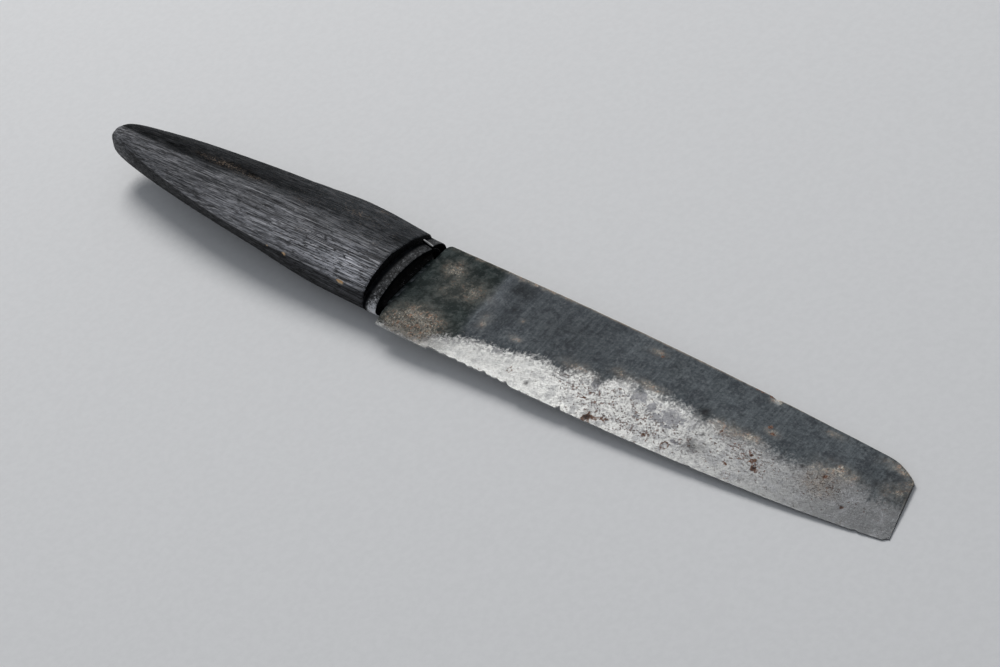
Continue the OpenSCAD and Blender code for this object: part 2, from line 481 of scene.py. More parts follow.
# Small pits in the upper face: place, radius, depth
PITS = [
    (57, -13.5, 0.6, 0.16), (109.2, 1.8, 0.9, 0.08), (143.6, -1.2, 0.55, 0.14), (160.3, -7.2, 0.4, 0.1),
    (132.5, -7.7, 0.6, 0.08), (80.3, -15, 1, 0.06), (113.5, -5, 0.5, 0.05), (36, 6, 0.4, 0.06),
]
# Rust on the upper face: place, radius along, radius across
RUST = [
    (80.3, -15.2, 1.5, 1.5), (82.2, -14.3, 1.3, 0.8), (84.6, -13.6, 1.6, 0.6), (131, -5.8, 0.9, 0.8),
    (132.6, -7.7, 0.9, 0.5), (129.6, -4.6, 0.7, 0.4), (128.1, 5.6, 0.7, 0.5), (130.2, 3.9, 0.8, 0.35),
    (150.9, -1.2, 0.6, 0.5), (86.2, -13, 0.8, 0.4), (75.5, -10, 0.7, 0.3), (124.5, -10, 1.1, 0.3),
    (160.4, -7.3, 0.5, 0.5), (117.2, -1.9, 0.5, 0.4), (121.9, 14.5, 1.2, 0.4), (118.5, 14.7, 2.4, 0.3),
    (86.2, 12, 0.6, 0.4), (99, -12.5, 0.9, 0.25), (100.6, -13.6, 0.3, 0.6),
]
# Ring-shaped marks: place, radius, thickness
RINGS = [
    (106.2, -12.8, 1.15, 0.42), (49.4, -12, 0.75, 0.6), (127.3, -13, 1.1, 0.25),
    (132.9, -7.6, 1.1, 0.35),
]
# Blue-grey blotches left in the polished zone: place, radius along, radius across
GREY = [
    (89.3, -2.4, 2.8, 2), (95.4, -3.8, 2, 1.5), (102, -4.4, 4.4, 2.3), (98.4, -6.2, 2.4, 1.2),
    (107.6, -10.4, 1.2, 0.6), (76, -4.6, 1.3, 1.6), (41.3, -8.5, 1.2, 1), (93.5, -8.4, 1, 0.5),
    (102.5, -7.6, 1.3, 0.6),
]
# Soft changes of tone, and a painted highlight by the spine's notch at (124.4, 13.5): place, radius along,
# radius across, how much lighter or darker
TONES = [
    (32.5, 13.2, 5, 3.2, -0.6), (36, 2, 2.6, 7, -0.22), (43.5, -1.5, 4.2, 4.5, 0.22),
    (56, 4.6, 1.5, 1.5, 0.32), (26.8, 12, 1.6, 6.5, 0.42), (28.6, 6.5, 1.8, 3, 0.34),
    (27, -1.5, 0.35, 5.6, 0.5), (17, 13, 7, 4, -0.25), (4.5, 11, 2.5, 5, -0.25),
    (5, -1, 2.4, 3.5, -0.22), (20, -7, 5, 1.6, -0.14), (12, 0, 8, 4, -0.12),
    (57.6, -3.4, 0.3, 2.3, 0.35), (113.8, -9.6, 3.6, 2.2, -0.6), (109, 1.6, 2.2, 1.8, -0.5),
    (150, -3, 6.5, 3.8, -0.18), (170, 4.5, 4.5, 5, -0.24), (93, 12, 3, 4, -0.2),
    (66, 14, 4, 3, -0.12), (122, 6, 10, 5, 0.08), (104.5, -1.6, 2.6, 1, 0.3),
    (94, 0, 3, 0.8, 0.2), (148, 8, 15, 5, 0.14), (160, 5.5, 8, 4, -0.08),
    (54, 6, 17, 9, -0.27), (79, 8, 9, 6, 0.06), (162, -8, 14, 7, -0.12),
    (85, -8, 11, 7, -0.08), (80.5, 0.6, 4, 2.2, -0.34), (136.6, 0.5, 0.35, 6, -0.18),
    (165.8, 9.5, 3.5, 1.2, 0.25), (124.4, 13.5, 1, 0.7, 1.1), (114.5, 7.5, 2.6, 0.35, 0.4),
]
# Beige and orange haze: place, radius along, radius across, strength
HAZES = [
    (13, -10.5, 8, 4.4, 1), (9, -14.5, 7, 2.4, 1), (8.5, 10.5, 4, 3, 0.62),
    (20, 5.5, 6, 4.5, 0.38), (12, 3, 5, 5, 0.22), (20, -15.5, 5, 1.6, 0.7),
    (31, -1.8, 1.8, 2.4, 0.35), (43.9, -2.5, 2.4, 1, 0.32), (41, 3.8, 0.9, 0.9, 0.3),
    (84, 13, 3.2, 1.4, 0.32), (80.5, 1.6, 3.6, 1.5, 0.45), (91, 1.4, 4.5, 1.4, 0.5),
    (117, -0.8, 6, 2.2, 0.55), (126.5, -0.4, 3.5, 1.6, 0.5), (150.5, -1, 5, 3, 0.9),
    (154, 1.5, 6, 2, 0.6), (151, -5, 5.5, 2.6, 0.6), (167, 10.5, 5, 1.4, 0.72),
    (170, 3, 3.8, 3, 0.5), (68, -2.6, 6, 1.8, 0.4), (30, 16.8, 26, 0.7, 0.5),
    (123.8, 13.9, 1.6, 1, 0.9), (145, 11.6, 3, 0.8, 0.5), (129.5, 4.4, 2.2, 1.2, 0.5),
    (172, 7.5, 1.8, 3.2, 0.5),
]
# Where small brown flecks are dense: place, radius along, radius across
FLECKED = [
    (77, -8, 9, 6), (88, -9, 12, 6), (104, -10, 12, 4), (66, -7, 4, 3), (130, -6, 8, 4), (120, -3, 8, 3),
    (152, -3, 8, 4),
]


def spots(x, y, marks, seed, wander):
    """How far each point lies inside the nearest of some soft-edged oval marks."""
    ragged = wander * flat_cloud(x, y, 0.9, 0.9, seed)
    return np.max([1.35 - np.hypot((x - a) / rx, (y - b) / ry) - ragged for a, b, rx, ry in marks], axis=0)


def patches(x, y, marks):
    """The sum of some soft oval patches, each with its own strength."""
    return sum(m[4] * np.exp(-(((x - m[0]) / m[2]) ** 2 + ((y - m[1]) / m[3]) ** 2)) for m in marks)


def paint_polish(blade, x, y, upper):
    """How far inside the polished zone each vertex lies. The back has a plain honed strip instead."""
    wander = 0.9 * flat_cloud(x, y, 4, 3, 41, 5) + 0.7 * flat_cloud(x, y, 1.3, 1.3, 42)
    wander += smoothstep(66, 78, x) * (0.9 * flat_cloud(x, y, 1.8, 1.8, 51, 3))
    front = np.interp(x, *zip(*POLISH))
    back = -9.5 + 1.8 * flat_cloud(x, y, 17, 17, 53)
    paint(blade, "polish", np.clip(np.where(upper, front, back) + wander - y, -8, 8))


def paint_rims(blade, co):
    """Bare metal with a painted highlight along the spine and the squared end, and a broken painted highlight
    along the root.
    """
    x, y, z = co.T
    grid = co.reshape(2, -1, BLADE_ROWS, 3)
    from_spine = np.linalg.norm(grid - grid[:, :, -1:], axis=3)
    from_end = np.linalg.norm(grid - grid[:, -1:], axis=3)
    away = np.minimum(from_spine, from_end).ravel()
    chatter = 0.6 + 0.6 * flat_cloud(x, y * 0, 2.2, 1, 50)
    # the rim: bare metal with a painted highlight along the spine and the end
    rim = (1 - smoothstep(0.15, 0.6, away)) * np.clip(chatter, 0, 1) * (x > 2) * (0.3 + 0.7 * (y > 8))
    paint(blade, "rim", rim)
    # a broken painted highlight along the blade's root, by the pitch
    root = (1 - smoothstep(0.05, 0.22, x)) * (x > -0.1) * (z > 1.8) * (y > -13) * (y < 9)
    broken = smoothstep(-0.05, 0.4, flat_cloud(x * 0, y, 1, 1.1, 52))
    paint(blade, "root", 0.7 * root * broken)


def paint_blade(blade):
    """Marks that have a place on the blade, one number per vertex."""
    co = verts_mm(blade)
    x, y, z = co.T
    upper = z > 0.2
    paint_polish(blade, x, y, upper)
    paint_rims(blade, co)
    drift = 0.8 * flat_cloud(x, y, 6, 5, 43) + 0.5 * flat_cloud(x, y, 1.5, 1.5, 46)
    paint(blade, "heel", 1 - smoothstep(-1, 1, (x - 26 + 0.12 * y + 2 * drift) / 2.2))
    ring = np.max([1 - np.abs(np.hypot(x - a, y - b) - r) / t for a, b, r, t in RINGS], axis=0)
    ring += 0.5 * flat_cloud(x, y, 0.8, 0.8, 48)
    blots = smoothstep(0, 0.6, spots(x, y, RUST, 44, 1.1))
    paint(blade, "rust", np.maximum(blots, 0.8 * smoothstep(0.2, 0.9, ring)) * upper)
    paint(blade, "grey", smoothstep(0, 0.6, spots(x, y, GREY, 45, 1.4)) * upper)
    paint(blade, "pit", np.clip(sum(dent(x, y, a, b, r * 1.1) for a, b, r, _ in PITS), 0, 1) * upper)
    shift = 1.1 * flat_cloud(x, y, 3, 3, 47)
    across = flat_cloud(x, y, 1.1, 14, 49, 3)
    streaked = np.exp(-((x - 50) / 16) ** 2) + np.exp(-((x - 103) / 16) ** 2)
    tone = patches(x + shift, y - shift, TONES) + 0.13 * across * streaked * (y > -6)
    paint(blade, "tone", tone * upper)
    paint(blade, "haze", np.clip(patches(x + shift, y - shift, HAZES), 0, 1) * upper)
    paint(blade, "fleck", np.clip(patches(x, y, [(*m, 1.0) for m in FLECKED]), 0, 1))
    paint(blade, "along", x / BLADE_LENGTH)


def blade_textures(n):
    """The noises that the blade's colours and relief share."""
    turned = n.new("VectorRotate", {"Vector": n.scaled(1, 1, 1), "Angle": math.radians(-14)},
                   rotation_type="Z_AXIS").outputs["Vector"]
    brushed = n.new("Mapping", {"Vector": turned, "Scale": (0.22, 3.0, 0.3)}).outputs["Vector"]
    return SimpleNamespace(
        broad=n.noise((0.07, 0.09, 0.09), 3),
        mottle=n.noise((0.3, 0.34, 0.34), 6, 0.66),
        medium=n.noise((0.75, 0.85, 0.8), 3, 0.62, 0.3),
        grain=n.noise((1.5, 1.5, 1.5), 5, 0.68),
        fine=n.noise((4.2, 4.2, 4.2), 3, 0.6),
        across=n.noise((1.2, 0.06, 0.2), 4, 0.66),
        hatch=n.noise((0.1, 1.3, 0.3), 3, 0.6),
        draw=n.noise(brushed, 4, 0.62),
        crumbs=n.noise((1.05, 1.3, 1.1), 3, 0.66, 0.4),
        flecks=n.noise((1.5, 1.8, 1.5), 6, 0.72, 0.4),
        scatter=n.noise((2.1, 2.1, 2.1), 4, 0.7),
        clots=n.noise((0.62, 0.62, 0.62), 5, 0.75, 0.3),
    )


def scale_colour(n, t, along):
    """Forge scale: blue-grey, with paler and darker clouds and faint marks across the blade."""
    base = n.mix(n.ramp(along, 0.2, 0.6), (0.045, 0.053, 0.061), (0.06, 0.071, 0.079))
    return n.layer(base, [
        ((0.084, 0.096, 0.104), n.ramp(t.broad, 0.38, 0.62), 0.45),
        ((0.125, 0.14, 0.15), n.ramp(t.across, 0.53, 0.6), 0.29),
        ((0.03, 0.036, 0.042), n.ramp(t.across, 0.46, 0.39), 0.38),
        ((0.125, 0.138, 0.146), n.ramp(t.hatch, 0.55, 0.66), 0.22),
        ((0.026, 0.031, 0.038), n.ramp(t.mottle, 0.49, 0.6), 0.62),
        ((0.13, 0.142, 0.148), n.ramp(t.medium, 0.53, 0.64), 0.3),
        ((0.02, 0.025, 0.031), n.ramp(t.medium, 0.45, 0.35), 0.42),
        ((0.15, 0.16, 0.162), n.ramp(t.grain, 0.54, 0.64), 0.3),
        ((0.016, 0.02, 0.025), n.ramp(t.grain, 0.46, 0.36), 0.45),
    ])


def crust_colour(n, t):
    """Greenish corrosion at the heel."""
    base = n.mix(n.ramp(t.mottle, 0.42, 0.58), (0.012, 0.021, 0.02), (0.042, 0.057, 0.055))
    return n.layer(base, [
        ((0.012, 0.02, 0.019), n.ramp(t.medium, 0.48, 0.38), 0.8),
        ((0.105, 0.115, 0.112), n.ramp(t.medium, 0.54, 0.64), 0.45),
    ])


def dark_colour(n, t, m, gathered, speck):
    """The unpolished steel: scale and crust, with orange and beige specks gathered in hazes, painted glints
    among them, the bare rim with its painted highlight and a painted highlight along the root.
    """
    base = n.mix(m.heel, scale_colour(n, t, m.along), crust_colour(n, t))
    beige = n.mix(n.ramp(t.clots, 0.47, 0.56), (0.46, 0.4, 0.31), (0.36, 0.2, 0.125))
    return n.layer(base, [
        ((0.315, 0.295, 0.258), gathered, 0.84),
        (beige, speck, 0.8),
        # painted glints in the hazes
        ((0.62, 0.58, 0.5), n.ramp(t.grain, 0.565, 0.62), n.ramp(gathered, 0.15, 0.6), 0.9),
        ((0.03, 0.036, 0.034), n.ramp(gathered, 0.2, 0.8), n.ramp(t.grain, 0.45, 0.38)),
        # bare metal with a painted highlight on the rim
        ((0.34, 0.28, 0.22), m.rim, 0.75),
        # painted highlight along the root
        ((0.42, 0.44, 0.47), m.root, 0.85),
    ])


def steel_colour(n, t, m, speck, spotted):
    """The polished zone: pale steel with painted shade that greys it towards the end and painted glints near
    the heel, flecked, hazed and blotched.
    """
    base = n.mix(n.ramp(t.draw, 0.32, 0.7), (0.535, 0.54, 0.525), (0.668, 0.665, 0.64))
    worked = n.ramp(m.along, 0.26, 0.46, 0.3, 0.52)
    torn = n.plus(n.swing(t.medium, 0.5), n.swing(t.grain, 0.5, 0.6))
    veined = n.ramp(n.plus(n.times(m.grey, 0.28), torn), 0.12, 0.24)
    return n.layer(base, [
        # painted shade: the polished steel greys towards the end
        ((0.128, 0.133, 0.138), n.ramp(m.along, 0.38, 1), 0.96),
        ((0.235, 0.24, 0.25), n.ramp(t.mottle, 0.48, 0.6), n.ramp(m.along, 0.28, 0.42, 0.3, 0.58)),
        ((0.2, 0.2, 0.205), n.ramp(t.medium, 0.46, 0.36), worked),
        ((0.18, 0.18, 0.18), n.ramp(t.grain, 0.45, 0.36), worked),
        # painted glints, most of them near the heel
        ((0.8, 0.8, 0.79), n.ramp(t.grain, 0.53, 0.64), n.ramp(m.along, 0.35, 0.85, 0.35, 0.04)),
        ((0.22, 0.21, 0.2), n.ramp(t.fine, 0.42, 0.32), 0.35),
        ((0.165, 0.092, 0.07), spotted, n.ramp(m.along, 0.28, 0.42, 0.6, 0.8)),
        ((0.27, 0.215, 0.165), speck, 0.45),
        ((0.215, 0.185, 0.155), m.haze, n.ramp(t.mottle, 0.38, 0.56, 0.4, 1), 0.55),
        ((0.158, 0.16, 0.175), veined, n.ramp(m.grey, 0, 0.3), 0.8),
        ((0.185, 0.185, 0.185), n.ramp(m.polish, 0.2, 4.5, 0.75, 0), n.ramp(t.medium, 0.56, 0.46)),
    ])


def rusted(n, t, m, colour):
    """Brown rust with an eaten edge, and black pits, over a colour."""
    brown = n.mix(n.ramp(t.fine, 0.42, 0.6), (0.055, 0.028, 0.022), (0.2, 0.112, 0.075))
    edge = n.plus(n.swing(t.clots, 0.5, 0.9), n.swing(t.scatter, 0.5))
    eaten = n.ramp(n.plus(n.times(m.rust, 0.42), edge), 0.16, 0.36)
    colour = n.mix(n.times(eaten, n.ramp(m.rust, 0.0, 0.25)), colour, brown)
    return n.mix(n.times(m.pit, 0.85), colour, (0.014, 0.013, 0.014))


def blade_material():
    n = Nodes("forged_steel")
    t = blade_textures(n)
    names = ("polish", "heel", "along", "rust", "grey", "pit", "tone", "haze", "fleck", "rim", "root")
    m = SimpleNamespace(**{name: n.attribute(name) for name in names})
    gathered = n.times(m.haze, n.ramp(t.mottle, 0.38, 0.58, 0.35, 1.0))
    clustered = n.times(n.ramp(t.crumbs, 0.51, 0.56), n.ramp(t.clots, 0.42, 0.5))
    speck = n.times(n.ramp(gathered, 0.05, 0.6), n.math("MAXIMUM", clustered, n.ramp(t.scatter, 0.56, 0.61)))
    dense = n.plus(n.times(m.fleck, 0.085), n.swing(t.clots, 0.57, 0.55))
    spotted = n.ramp(n.plus(t.flecks, dense), 0.595, 0.64)

    # the border of the polished zone is crisp near the heel and dissolves further along
    soft = n.ramp(m.along, 0.26, 0.52, 1.8, 4.6)
    ragged = n.plus(n.swing(t.grain, 0.5, 7.5), n.swing(t.clots, 0.5, 6.0))
    clean = n.ramp(n.math("DIVIDE", n.plus(m.polish, ragged), soft), -0.5, 0.6)
    dark = dark_colour(n, t, m, gathered, speck)
    colour = n.mix(clean, dark, steel_colour(n, t, m, speck, spotted))
    uneven = n.plus(n.swing(t.medium, 0.5), n.swing(t.grain, 0.5, 0.8))
    level = n.plus(n.plus(1.0, m.tone), n.times(uneven, m.along))
    colour = rusted(n, t, m, n.shade(colour, level))

    shine = n.times(clean, n.math("SUBTRACT", 1.0, n.times(m.rust, 0.8)))
    rough = n.blend(shine, n.blend(m.heel, 0.48, 0.6), n.blend(t.draw, 0.36, 0.5))
    rough = n.plus(rough, n.swing(t.grain, 0.5, 0.25))
    metal = n.blend(shine, n.blend(m.heel, 0.55, 0.3), 0.9)
    gloss = n.blend(shine, n.times(n.plus(1.0, m.tone), 0.22), 0.5)
    relief = n.total((t.grain, n.blend(m.heel, 0.7, 1.8)), (t.fine, 0.5),
                     (n.blend(clean, t.across, t.draw), 0.6), (n.times(spotted, clean), -0.5))
    return n.finish(colour, rough, metal, n.bump(relief, 0.09), gloss)


# ---- the grip

GRIP_AROUND, GRIP_RINGS = 236, 372
FACETS = 110                 # how many cuts whittle the grip
GRIP_MID_Z = 0.5             # a height inside the grip all along it
SLOT_CENTRE = (1.5, 1.1)     # Y and Z inside the tang's slot
NEAR_RIDGE = (0, -0.7, 0.7)  # which way the near ridge points


def soften(ring, reach):
    """Rounds a closed ring's corners by averaging over reach points on each side."""
    weight = np.hanning(2 * reach + 3)[1:-1]
    return sum(w * np.roll(ring, k, axis=0) for w, k in zip(weight, range(-reach, reach + 1))) / weight.sum()


def grip_section(cad, x, slot=False):
    """The outline of the grip from its near ridge, or of its slot, at x and counter-clockwise about +X."""
    if slot:
        centre = SLOT_CENTRE
    else:
        sides = [cad.hit((x, sign * RING_CLEAR, GRIP_MID_Z), (0, -sign, 0))[1] for sign in (-1, 1)]
        centre = (sum(sides) / 2, AXIS[1])
    core = np.array([x, *centre])
    points = []
    for angle in ring_angles():
        ray = np.array([0, math.cos(angle), math.sin(angle)])
        points.append(cad.hit(core, ray) if slot else cad.hit(core + RING_CLEAR * ray, -ray))
    points = np.array(points)
    return points if slot else np.roll(points, -int(np.argmax(points @ NEAR_RIDGE)), axis=0)


def oval_ring(x, half_y, half_z, count):
    """An oval section about the axis."""
    angle = ring_angles()
    y, z = AXIS[0] + half_y * np.cos(angle), AXIS[1] + half_z * np.sin(angle)
    return resample(np.column_stack([np.full(SECTION_POINTS, x), y, z]), count, closed=True)


def between(a, b, shares):
    return [a + s * (b - a) for s in shares]


# Bare chips on the near ridge of the grip: distance from the heel, half length, half width
CHIPS = [(-18.4, 1.5, 0.42), (-43.1, 0.75, 0.35), (-50.6, 0.35, 0.25)]


def whittle(points, normals):
    """Cuts long shallow facets into the grip, as a knife leaves them."""
    rng = np.random.default_rng(7)
    for pick in rng.choice(len(points), FACETS, replace=False):
        centre, normal = points[pick], normals[pick]
        depth, reach = rng.uniform(0.03, 0.09), rng.uniform(10, 24)
        offset = points - centre
        level = depth * (1 - (offset[:, 0] / reach) ** 2)
        over = offset[:, 1:] @ normal[1:] + level
        near = (over > 0) & (over < 2 * depth) & (level > 0) & (normals @ normal > 0.9)
        points[near] -= np.outer(np.minimum(over, level)[near], normal)
    return points


def grid_normals(grid):
    """Outward normals of a grid of rings that run along +X, counter-clockwise about it."""
    along = np.gradient(grid, axis=0)
    around = np.roll(grid, -1, axis=1) - np.roll(grid, 1, axis=1)
    normal = np.cross(around, along)
    return normal / np.maximum(np.linalg.norm(normal, axis=2, keepdims=True), 1e-9)


def grip_grid(cad, xs):
    """Rings round the grip from butt to shoulder, with every ridge softened but the near one."""
    from_ridge = np.minimum(np.arange(GRIP_AROUND), np.arange(GRIP_AROUND)[::-1])
    off_ridge = np.minimum(1, from_ridge / 5)[:, None]
    rings = []
    for x in xs:
        sharp = resample(grip_section(cad, x), GRIP_AROUND, closed=True)
        soft = soften(sharp, 11)
        for k in (1, 2):
            shrunk = [soft[:, k].min(), soft[:, k].max()]
            soft[:, k] = np.interp(soft[:, k], shrunk, [sharp[:, k].min(), sharp[:, k].max()])
        at_butt = 1 - smoothstep(-134, -128, x)
        share = np.maximum(off_ridge, at_butt)
        rings.append(soft * share + sharp * (1 - share))
    grid = np.array(rings)
    for _ in range(12):
        grid[1:-1, :, 1:] = (grid[:-2, :, 1:] + 2 * grid[1:-1, :, 1:] + grid[2:, :, 1:]) / 4
    return grid


def weathered(grid, normals):
    """The grip's skin with whittled facets, furrows along the grain and small dents."""
    points = whittle(grid.reshape(-1, 3).copy(), normals)
    furrows = np.clip(grain_cloud(points, 16, 0.55, 61, 3), -0.5, 0.25) - 0.25
    relief = 0.07 * furrows + 0.05 * (grain_cloud(points, 26, 1.5, 62, 3) - 0.6)
    relief -= 0.05 * np.clip(grain_cloud(points, 1.2, 1.2, 63) - 0.15, 0, 1)
    return (points + normals * relief[:, None]).reshape(grid.shape)


def round_end(grid, xs, rings, reach):
    """Rounds the rim at one end of the grip, by drawing in the rings within reach of it."""
    for i in rings:
        gap = abs(xs[i] - xs[rings[0]])
        if gap < reach:
            core = grid[i].mean(0)
            inset = reach * (1 - math.sqrt(max(0, 1 - (1 - gap / reach) ** 2)))
            radius = np.linalg.norm((grid[i] - core)[:, 1:], axis=1)[:, None]
            grid[i] = core + (grid[i] - core) * np.clip(1 - 0.55 * inset / radius, 0.2, 1)


def stub_and_slot(cad, last, shoulder, front):
    """Rings from the last one across the shoulder, along the stub and down into the slot."""
    edge = last.copy()
    edge[:, 0] = shoulder
    stub = [oval_ring(x, *STUB_HALF, GRIP_AROUND) for x in np.linspace(shoulder, front, 8)]
    depths = (front - 0.3, front - 1.9, front - 2.3, -70, -78)
    slot = [resample(grip_section(cad, x, slot=True), GRIP_AROUND, closed=True) for x in depths]
    slot[0][:, 0] = front
    return between(edge, stub[0], [0.03, 0.3, 0.6, 0.9]) + stub + slot


def build_handle():
    cad = Surface("handle")
    shoulder = cad.hit((CLEAR, 16.5, 2), (-1, 0, 0))[0]
    front = cad.hit((CLEAR, AXIS[0], 4.5), (-1, 0, 0))[0]
    xs = np.linspace(cad.low[0] + 0.02, shoulder - 0.02, GRIP_RINGS)
    grid = grip_grid(cad, xs)
    normals = grid_normals(grid).reshape(-1, 3)
    grid = weathered(grid, normals)
    grid[:, :, 0] = xs[:, None]
    round_end(grid, xs, range(12), 2.2)
    round_end(grid, xs, range(GRIP_RINGS - 1, GRIP_RINGS - 4, -1), 0.5)
    grip = loft("carved_grip", list(grid) + stub_and_slot(cad, grid[-1], shoulder, front))
    sharpen(grip, 42)
    paint_handle(grip, normals)
    dress(grip, "handle", wood_material())
    return grip


# Soft changes of tone on the grip, the first four a painted pool of light on the near face that fades from
# the shoulder towards the butt: place, radius along, radius across, how much lighter or darker
GRIP_TONES_AND_LIGHT = [
    (-19, -7, 14, 6, 1.9), (-48, -7, 16, 3.5, 0.75), (-72, -5, 14, 2.5, 0.45), (-100, -1, 14, 2.5, 0.1),
    (-33, 11.5, 5, 1.2, 0.35), (-28, 17.5, 2.5, 1, 0.35), (-56, 12.5, 8, 2.2, -0.35),
    (-66, 0, 9, 0.8, -0.25), (-62, 2.6, 12, 0.5, -0.6), (-92, 0.2, 8, 0.45, -0.6),
    (-88, 8.5, 10, 1.5, 0.25), (-12, 5, 3, 9, -0.15), (-30, 4, 10, 2, -0.15),
    (-48, 7, 6, 2.5, -0.2), (-64, 3.6, 12, 0.35, 0.6), (-92, -1.2, 8, 0.4, -0.4),
    (-108, 1, 20, 5, -0.22), (-55, 1.2, 14, 0.3, 0.5), (-70, -1.5, 12, 0.3, -0.5),
    (-40, 0.5, 10, 0.4, -0.35),
]
# Warm flecks where bare wood shows through the stain: place, radius along, radius across, strength
GRIP_FLECKS = [
    (-90, 8.6, 8, 1.3, 1), (-75, 7.8, 7, 1, 0.7), (-52, 6.6, 3, 0.8, 0.5), (-31.5, 11.5, 4, 0.9, 0.9),
    (-27, 17.4, 2.2, 0.8, 1), (-43, -2.7, 1.5, 0.5, 0.8),
]


def paint_handle(grip, normals):
    """Bare chips, and the painted light and shade over the worn, blackened surface: painted shade on the far
    side, the near side facets, the faces below, the butt's end face, the shoulder and the stub, and a painted
    pool of light on the near face.
    """
    points = verts_mm(grip)
    x, y, z = points.T
    index = np.arange(len(x))
    count = GRIP_AROUND * GRIP_RINGS
    skin = index < count
    from_ridge = 0.3 * np.minimum(index % GRIP_AROUND, GRIP_AROUND - index % GRIP_AROUND)
    ragged = 0.45 * grain_cloud(points, 0.5, 0.5, 71)
    chip = np.max([1.2 - np.hypot((x - a) / b, from_ridge / c) - ragged for a, b, c in CHIPS], axis=0)
    paint(grip, "chip", smoothstep(0, 0.5, chip) * skin)
    back, side, up = np.zeros((3, len(x)))
    back[:count], side[:count], up[:count] = -normals[:, 0], normals[:, 1], normals[:, 2]
    butt = smoothstep(0.22, 0.42, back)
    # painted shade over the worn near face: it darkens gradually over the crown onto the far side, and more
    # suddenly towards the butt
    wavy = 1.2 * grain_cloud(points, 14, 2.5, 72) + 0.5 * grain_cloud(points, 3, 1, 73)
    span = np.interp(x, [-139, -128, -110, -92, -78, -50, -8], [6.8, 6.0, 5.4, 4.6, 6.0, 5.4, 4.8])
    width = np.interp(x, [-139, -110, -92, -80, -50, -8], [0.8, 1.0, 2.8, 3.0, 5.5, 6.0])
    far = smoothstep(-1, 1, (y - span + wavy) / width)
    crown_shade = np.exp(-((y - span - 3.0 + wavy) / 2.6) ** 2)
    blots = smoothstep(-0.15, 0.3, grain_cloud(points, 4.5, 1.3, 74))
    tone = 1.0 - np.interp(x, [-75, -45], [0.8, 0.6]) * far
    tone *= 1 - np.interp(x, [-75, -45], [0.68, 0.32]) * crown_shade * (0.4 + 0.6 * blots)
    # painted shade on the side facets that face the near side, less of it on the butt's chamfer
    chamfer = (1 - smoothstep(-133, -121, x)) * smoothstep(-0.5, 0.8, z)
    tone *= 1 - (0.75 - 0.42 * chamfer) * smoothstep(0.5, 0.75, -side) * (z < 6)
    # painted shade on faces that point down
    tone *= 1 - 0.55 * (1 - smoothstep(-0.3, 0.2, up))
    # painted shade on the near part of the butt's end face
    tone = np.where(butt > 0, tone + butt * (y < span) * (0.62 - tone), tone)
    drift = 0.8 * grain_cloud(points, 6, 1.5, 75)
    # a painted pool of light on the near face, brightest towards the shoulder, among the soft changes of tone
    uneven = patches(x + 2 * drift, y + 0.6 * drift, GRIP_TONES_AND_LIGHT) * np.clip(tone, 0.3, 1)
    tone += (tone > 0.2) * (up > 0.2) * uneven
    # faces that point far down are lightened again
    tone += 0.28 * smoothstep(0.45, 0.8, -up)
    # the shoulder, stub and slot get a low tone as painted shade
    paint(grip, "tone", np.where(skin, np.clip(tone, 0.06, 3), 0.1))
    paint(grip, "far", far * skin)
    fleck = np.clip(patches(x + drift, y + 0.4 * drift, GRIP_FLECKS), 0, 1)
    paint(grip, "fleck", fleck * (up > 0.2) * skin)
    paint(grip, "pores", smoothstep(-55, -35, x) * (1 - smoothstep(-3, 2, y)) * skin)


def wood_material():
    n = Nodes("dark_wood")
    broad = n.noise((0.035, 0.16, 0.16), 3, 0.6)
    streak = n.noise((0.06, 2.0, 2.0), 4, 0.6, 0.08)
    thread = n.noise((0.028, 2.3, 2.3), 2, 0.5)
    fibre = n.noise((0.09, 2.8, 2.8), 3, 0.6, 0.05)
    hair = n.noise((0.2, 4.6, 4.6), 2, 0.55)
    dash = n.noise((0.36, 2.4, 2.4), 3, 0.6)
    speck = n.noise((1.2, 2.6, 2.6), 4, 0.6)
    blotch = n.noise((0.22, 0.6, 0.6), 5, 0.7)
    tone, far = n.attribute("tone"), n.attribute("far")

    base = n.mix(n.ramp(broad, 0.35, 0.65), (0.118, 0.122, 0.134), (0.174, 0.177, 0.193))
    stained = n.layer(base, [
        ((0.335, 0.335, 0.355), n.ramp(fibre, 0.52, 0.6), 0.7),
        ((0.024, 0.025, 0.028), n.ramp(streak, 0.54, 0.6), 0.85),
        ((0.009, 0.01, 0.012), n.ramp(thread, 0.565, 0.605), 0.9),
        ((0.008, 0.008, 0.009), n.ramp(dash, 0.55, 0.59), n.blend(n.attribute("pores"), 0.35, 0.95)),
        ((0.022, 0.022, 0.025), n.ramp(hair, 0.54, 0.62), 0.6),
        # the far side: darker blotches and a darker, bluer tint, partly painted shade
        ((0.012, 0.015, 0.017), n.ramp(blotch, 0.48, 0.6), n.blend(far, 0.2, 0.85)),
        ((0.06, 0.078, 0.09), far, 0.35),
        ((0.34, 0.28, 0.24), n.ramp(speck, 0.6, 0.68), n.blend(far, 0.2, 0.9)),
    ])
    bare = n.mix(n.ramp(fibre, 0.4, 0.6), (0.7, 0.37, 0.15), (0.86, 0.66, 0.4))
    # the painted light and shade lighten and darken the stained wood
    colour = n.layer(n.shade(stained, tone), [
        ((0.19, 0.145, 0.11), n.attribute("fleck"), n.ramp(speck, 0.5, 0.58), 0.75),
        (bare, n.attribute("chip")),
    ])
    rough = n.blend(n.ramp(fibre, 0.35, 0.65), 0.62, 0.46)
    relief = n.total((fibre, 1), (hair, -0.9), (n.ramp(streak, 0.52, 0.68), -0.9),
                     (n.ramp(dash, 0.55, 0.65), -0.9))
    gloss = n.times(n.math("MINIMUM", tone, 1.0), n.blend(far, 0.5, 0.25))
    return n.finish(colour, rough, 0.0, n.bump(relief, 0.1), gloss)


# ---- the collar

